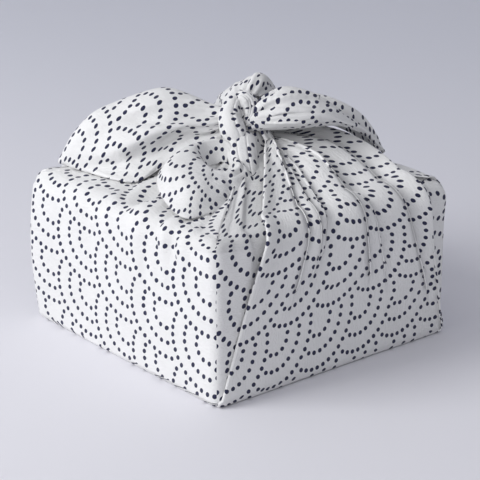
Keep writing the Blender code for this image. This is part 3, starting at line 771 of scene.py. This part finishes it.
def hemmed(grid):
    """Raise a narrow hem along the two side edges."""
    run = arc_lengths(grid, 1)
    edge = np.minimum(run, run[:, -1:] - run)
    lift = HEM_RISE * (1 - 1 / (1 + np.exp(-(edge - HEM_WIDTH) / 0.00025)))
    return grid + normals(grid) * lift[..., None]


def tail(name, keys, along, seed):
    """A tail as a thin sheet with gathers at the knot, soft swell and hems."""
    grid = lofted(keys, along, TAIL_STEPS)
    grid = grid + gathers(grid, *GATHERS[name], seed)
    grid = grid + normals(grid) * ripples(grid, 0.0007, 0.035, seed + 50)[..., None]
    grid = creased(name, hemmed(grid))
    coords = tail_coords(grid, *TAIL_LIE[name]) if name in TAIL_LIE else cup_coords(grid)
    return thickened(sheet_mesh(name, grid, coords), CLOTH * 1.3, 0.0)


def section_keys(table):
    """World points of a tail's table."""
    if isinstance(table[0][0], tuple):
        return np.array([[placed(*point) for point in row] for row in table])
    return np.array([[placed(row[0], *pair) for pair in row[1:]] for row in table])


def cup_keys():
    """World points of the rolled front tail."""
    keys = []
    for angle, *ring in FRONT_TAIL:
        a = math.radians(angle)
        keys.append([(CUP_X + r * MM * math.cos(a), CUP_Y + r * MM * math.sin(a), z * MM)
                     for r, z in ring])
    return np.array(keys)


def strap(name, seed):
    """One of the knot's straps: a gathered band that arches round the knot."""
    rows = spline(np.array(KNOT_STRAPS[name], float), 14)
    line = np.array([placed(*row[:3]) for row in rows])
    tangent = np.gradient(line, axis=0)
    tangent /= np.linalg.norm(tangent, axis=1, keepdims=True)
    out = line - placed(*KNOT_CORE[0])
    if name == "knot_down":
        out = np.tile(TOWARDS * 0.35 + UP, (len(line), 1))
    out -= tangent * np.sum(out * tangent, axis=1, keepdims=True)
    out /= np.linalg.norm(out, axis=1, keepdims=True)
    across = np.cross(tangent, out)
    share = np.linspace(-1.25, 1.25, 56)
    half = rows[:, 3, None, None] * MM
    crown = rows[:, 4, None, None] * MM
    arch = np.where(np.abs(share) <= 1, 1 - np.abs(share) ** 2.4, -(np.abs(share) - 1) * 6)
    inward = np.where(np.abs(share) <= 1, share, np.sign(share) * (1 - (np.abs(share) - 1) * 0.4))
    rng = np.random.default_rng(seed)
    ridges = np.zeros(len(share))
    count, depth = KNOT_GROOVES[name]
    for middle in np.linspace(-0.8, 0.8, count) + rng.uniform(-0.5, 0.5, count) / count:
        ridges -= rng.uniform(0.6, 1.3) * depth * np.exp(-((share - middle) / 0.06) ** 2)
    profile = (arch - 0.6 + ridges)[None, :, None]
    grid = (line[:, None] + across[:, None] * half * inward[None, :, None]
            + out[:, None] * crown * profile)
    piece = sheet_mesh(name, grid, tail_coords(grid, (0.2 + 0.01 * seed, 0.1), 35 * seed))
    return thickened(piece, CLOTH * 1.5, 0.0)


def knot_core():
    """Where the layers are pulled tight inside the knot."""
    a = np.linspace(0, 2 * math.pi, 49)[:-1]
    rows = []
    for b in np.linspace(0.12, math.pi - 0.12, 26):
        ridge = 1 + 0.05 * np.sin(9 * a + 2 * b)
        x = KNOT_CORE[0][0] + KNOT_CORE[1][0] * math.sin(b) * np.cos(a) * ridge
        y = KNOT_CORE[0][1] + KNOT_CORE[1][1] * math.sin(b) * np.sin(a) * ridge
        z = np.full(len(a), KNOT_CORE[0][2] + KNOT_CORE[1][2] * math.cos(b))
        rows.append([placed(*p) for p in zip(x, y, z)])
    grid = np.array(rows)
    across = arc_lengths(np.concatenate((grid, grid[:, :1]), axis=1), 1)
    run = arc_lengths(grid, 0)[:, :1]
    coords = both_ends(np.stack((across, np.broadcast_to(run, across.shape)), 2))
    return thickened(sheet_mesh("knot_core", grid, coords, wrap=True), CLOTH)


# Finish of the cloth
class Nodes:
    """Short hand for a material's node tree."""

    def __init__(self, tree):
        self.tree = tree

    def add(self, kind, **settings):
        node = self.tree.nodes.new(kind)
        for key, value in settings.items():
            setattr(node, key, value)
        return node

    def link(self, source, target):
        self.tree.links.new(source, target)

    def math(self, operation, *values, clamp=False):
        node = self.add("ShaderNodeMath", operation=operation, use_clamp=clamp)
        for socket, value in zip(node.inputs, values):
            if isinstance(value, (int, float)):
                socket.default_value = value
            else:
                self.link(value, socket)
        return node.outputs[0]

    def noise(self, vector, scale, detail):
        node = self.add("ShaderNodeTexNoise")
        node.inputs["Scale"].default_value = scale
        node.inputs["Detail"].default_value = detail
        self.link(vector, node.inputs["Vector"])
        return node

    def ramp(self, value, start, end, low, high, curve="SMOOTHSTEP"):
        node = self.add("ShaderNodeMapRange", interpolation_type=curve)
        for name, number in (("From Min", start), ("From Max", end),
                             ("To Min", low), ("To Max", high)):
            node.inputs[name].default_value = number
        self.link(value, node.inputs["Value"])
        return node.outputs["Result"]

    def blend(self, share, first, second):
        """Colour between two, each a tuple or a socket."""
        node = self.add("ShaderNodeMix", data_type="RGBA")
        self.link(share, node.inputs["Factor"])
        for name, colour in (("A", first), ("B", second)):
            if isinstance(colour, tuple):
                node.inputs[name].default_value = colour
            else:
                self.link(colour, node.inputs[name])
        return node.outputs["Result"]


def one_scale(n, x, y, row):
    """Mask of the dots of the wave scale in that row which lies nearest to (x, y)."""
    odd = n.math("MODULO", n.math("ADD", row, 1000.0), 2.0)
    shift = n.math("MULTIPLY", odd, SCALE_HALF)
    along = n.math("SUBTRACT", x, shift)
    column = n.math("ROUND", n.math("DIVIDE", along, 2 * SCALE_HALF))
    dx = n.math("SUBTRACT", along, n.math("MULTIPLY", column, 2 * SCALE_HALF))
    dy = n.math("SUBTRACT", y, n.math("MULTIPLY", row, SCALE_ROW))
    far = n.math("SQRT", n.math("ADD", n.math("MULTIPLY", dx, dx), n.math("MULTIPLY", dy, dy)))
    ring = n.math("ROUND", n.math("DIVIDE", far, RING_STEP))
    ring = n.math("MINIMUM", n.math("MAXIMUM", ring, 1.0), 3.0)
    angle = n.math("ARCTAN2", dx, dy)
    gap = n.math("DIVIDE", math.radians(RING_ANGLE), ring)
    half = n.math("MULTIPLY", n.math("GREATER_THAN", ring, 2.5), 0.5)
    place = n.math("SUBTRACT", n.math("DIVIDE", angle, gap), half)
    place = n.math("ADD", n.math("ROUND", place), half)
    most = n.math("ADD", n.math("MULTIPLY", ring, 2.0), half)
    place = n.math("MINIMUM", n.math("MAXIMUM", place, n.math("MULTIPLY", most, -1.0)), most)
    dot_angle = n.math("MULTIPLY", place, gap)
    reach = n.math("MULTIPLY", ring, RING_STEP)
    ox = n.math("SUBTRACT", dx, n.math("MULTIPLY", reach, n.math("SINE", dot_angle)))
    oy = n.math("SUBTRACT", dy, n.math("MULTIPLY", reach, n.math("COSINE", dot_angle)))
    lean = math.radians(DOT_LEAN)
    longways = n.math("ADD", n.math("MULTIPLY", oy, math.cos(lean)),
                      n.math("MULTIPLY", ox, math.sin(lean)))
    sideways = n.math("SUBTRACT", n.math("MULTIPLY", ox, math.cos(lean)),
                      n.math("MULTIPLY", oy, math.sin(lean)))
    longways = n.math("DIVIDE", longways, DOT[0])
    sideways = n.math("DIVIDE", sideways, DOT[1])
    return n.math("ADD", n.math("MULTIPLY", longways, longways),
                  n.math("MULTIPLY", sideways, sideways))


def printed_cotton():
    """Off-white crepe cotton with a fine weave and a navy print of dotted wave scales."""
    material = bpy.data.materials.new("printed_cotton")
    material.use_nodes = True
    n = Nodes(material.node_tree)
    shader = n.tree.nodes["Principled BSDF"]
    place = n.add("ShaderNodeUVMap", uv_map="cloth").outputs["UV"]
    apart = n.add("ShaderNodeSeparateXYZ")
    n.link(place, apart.inputs[0])

    # Place on the print, in mm, with the dots' outlines a little unsteady
    wobble = n.noise(place, 260.0, 2.0).outputs["Fac"]
    shake = n.math("MULTIPLY", n.math("SUBTRACT", wobble, 0.5), 0.5)
    x = n.math("ADD", n.math("MULTIPLY", apart.outputs[0], 1 / MM), shake)
    y = n.math("ADD", n.math("MULTIPLY", apart.outputs[1], 1 / MM), shake)
    cos, sin = math.cos(math.radians(PRINT_TURN)), math.sin(math.radians(PRINT_TURN))
    up = n.math("ADD", n.math("MULTIPLY", x, cos), n.math("MULTIPLY", y, sin))
    side = n.math("SUBTRACT", n.math("MULTIPLY", x, sin), n.math("MULTIPLY", y, cos))
    up = n.math("ADD", up, PRINT_SHIFT[1])
    side = n.math("ADD", side, PRINT_SHIFT[0])
    row = n.math("FLOOR", n.math("DIVIDE", n.math("SUBTRACT", up, ROW_OVERLAP), SCALE_ROW))
    near = one_scale(n, side, up, row)
    next_row = one_scale(n, side, up, n.math("SUBTRACT", row, 1.0))
    ink = n.ramp(n.math("MINIMUM", near, next_row), *DOT_EDGE, 1.0, 0.0)

    ground = n.blend(n.noise(place, 45.0, 5.0).outputs["Fac"], GROUND_DARK, GROUND_LIGHT)
    inks = n.blend(wobble, INK_DARK, INK_LIGHT)
    n.link(n.blend(ink, ground, inks), shader.inputs["Base Color"])

    # Threads both ways, and the short crepe wrinkles over them
    warp = n.math("SINE", n.math("MULTIPLY", x, 2 * math.pi / THREAD))
    weft = n.math("SINE", n.math("MULTIPLY", y, 2 * math.pi / THREAD))
    stretch = n.add("ShaderNodeMapping")
    stretch.inputs["Scale"].default_value = (1.0, 0.45, 1.0)
    n.link(place, stretch.inputs["Vector"])
    crepe = n.noise(stretch.outputs["Vector"], 900.0, 4.0)
    crepe.inputs["Roughness"].default_value = 0.6
    weave = n.math("MULTIPLY", n.math("MULTIPLY", warp, weft), 0.10)
    bump = n.add("ShaderNodeBump")
    bump.inputs["Strength"].default_value = 1.0
    bump.inputs["Distance"].default_value = CREPE_HEIGHT
    n.link(n.math("ADD", crepe.outputs["Fac"], weave), bump.inputs["Height"])
    n.link(bump.outputs["Normal"], shader.inputs["Normal"])
    rough = n.ramp(crepe.outputs["Fac"], 0.0, 1.0, 0.80, 0.98, "LINEAR")
    n.link(rough, shader.inputs["Roughness"])
    for name, value in (("Metallic", 0.0), ("Specular IOR Level", 0.25),
                        ("Sheen Weight", 0.12), ("Sheen Roughness", 0.5)):
        shader.inputs[name].default_value = value
    return material


# Studio
def studio():
    """Pale floor that sweeps up behind the wrap, painted darker towards the back and up the sweep
    as painted shade.
    """
    away = -TOWARDS
    profile = [(FLOOR_FRONT, 0.0), (FLOOR_BACK, 0.0)]
    for a in np.linspace(0, math.pi / 2, 16)[1:]:
        profile.append((FLOOR_BACK + SWEEP_R * math.sin(a), SWEEP_R * (1 - math.cos(a))))
    profile.append((FLOOR_BACK + SWEEP_R, WALL_TOP))
    points = [tuple(away * d + ACROSS * u + UP * z)
              for u in (-FLOOR_HALF, FLOOR_HALF) for d, z in profile]
    count = len(profile)
    faces = [(i, i + count, i + count + 1, i + 1) for i in range(count - 1)]
    mesh = bpy.data.meshes.new("floor")
    mesh.from_pydata(points, [], faces)
    mesh.shade_smooth()
    floor = bpy.data.objects.new("floor", mesh)
    bpy.context.collection.objects.link(floor)
    paint = bpy.data.materials.new("floor_paint_with_painted_shade")
    paint.use_nodes = True
    n = Nodes(paint.node_tree)
    shader = n.tree.nodes["Principled BSDF"]
    depth = n.add("ShaderNodeVectorMath", operation="DOT_PRODUCT")
    depth.inputs[1].default_value = tuple(away)
    n.link(n.add("ShaderNodeTexCoord").outputs["Object"], depth.inputs[0])
    # Painted shade: the colour darkens from the near floor to the far floor and up the sweep
    share = n.ramp(depth.outputs["Value"], -0.1, 0.7, 0.0, 1.0)
    n.link(n.blend(share, FLOOR_NEAR, FLOOR_FAR_PAINTED_SHADE), shader.inputs["Base Color"])
    shader.inputs["Roughness"].default_value = 0.75
    mesh.materials.append(paint)


def soft_light(name, direction, distance, size, watts):
    """Square soft box aimed at the wrap."""
    lamp = bpy.data.lights.new(name, "AREA")
    lamp.shape = "SQUARE"
    lamp.size = size
    lamp.energy = watts
    holder = bpy.data.objects.new(name, lamp)
    way = ACROSS * direction[0] + TOWARDS * direction[1] + UP * direction[2]
    way /= np.linalg.norm(way)
    holder.location = np.array(LIT_POINT) + way * distance
    holder.rotation_euler = Vector(way).to_track_quat("Z", "Y").to_euler()
    bpy.context.collection.objects.link(holder)


def camera():
    """Camera at the photo's viewing angle."""
    az, el = math.radians(CAMERA_TURN), math.radians(CAMERA_RISE)
    back = np.array((math.sin(az) * math.cos(el), -math.cos(az) * math.cos(el), math.sin(el)))
    right = np.array((math.cos(az), math.sin(az), 0.0))
    up = np.cross(back, right)
    data = bpy.data.cameras.new("camera")
    data.sensor_width = SENSOR
    data.lens = FOCAL_PIXELS * SENSOR / PHOTO_PIXELS
    data.clip_start = 0.01
    view = bpy.data.objects.new("camera", data)
    view.location = (right * CAMERA_PLACE[0] + up * CAMERA_PLACE[1]
                     + back * CAMERA_PLACE[2])
    view.rotation_euler = (math.pi / 2 - el, 0.0, az)
    bpy.context.collection.objects.link(view)
    bpy.context.scene.camera = view


def lights():
    """Key from the left, low enough to leave the pleated side in soft shade, and fill."""
    for name, settings in LIGHTS.items():
        soft_light(name, *settings)
    world = bpy.data.worlds.new("studio air")
    world.use_nodes = True
    air = world.node_tree.nodes["Background"]
    air.inputs["Color"].default_value = AIR_COLOUR
    air.inputs["Strength"].default_value = AIR_STRENGTH
    bpy.context.scene.world = world
    bpy.context.scene.view_settings.view_transform = "Standard"


def dressed(piece, material):
    """Material, slot and body of one piece."""
    piece.data.materials.append(material)
    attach(piece, "root")
    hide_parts(NODE)


def build():
    """Make every piece and dress it."""
    cotton = printed_cotton()
    dressed(under_cloth(), cotton)
    for side in FLAP_FOLDS:
        dressed(flap(side), cotton)
    tails = (("left_tail", section_keys(LEFT_TAIL), TAIL_STEPS),
             ("right_tail", section_keys(RIGHT_TAIL), TAIL_STEPS),
             ("back_tail", section_keys(BACK_TAIL), TAIL_STEPS),
             ("front_tail", cup_keys(), CUP_STEPS))
    for seed, (name, keys, along) in enumerate(tails, 1):
        dressed(tail(name, keys, along, seed), cotton)
    for seed, name in enumerate(KNOT_STRAPS, 1):
        dressed(strap(name, seed), cotton)
    dressed(knot_core(), cotton)


build()
studio()
lights()
camera()
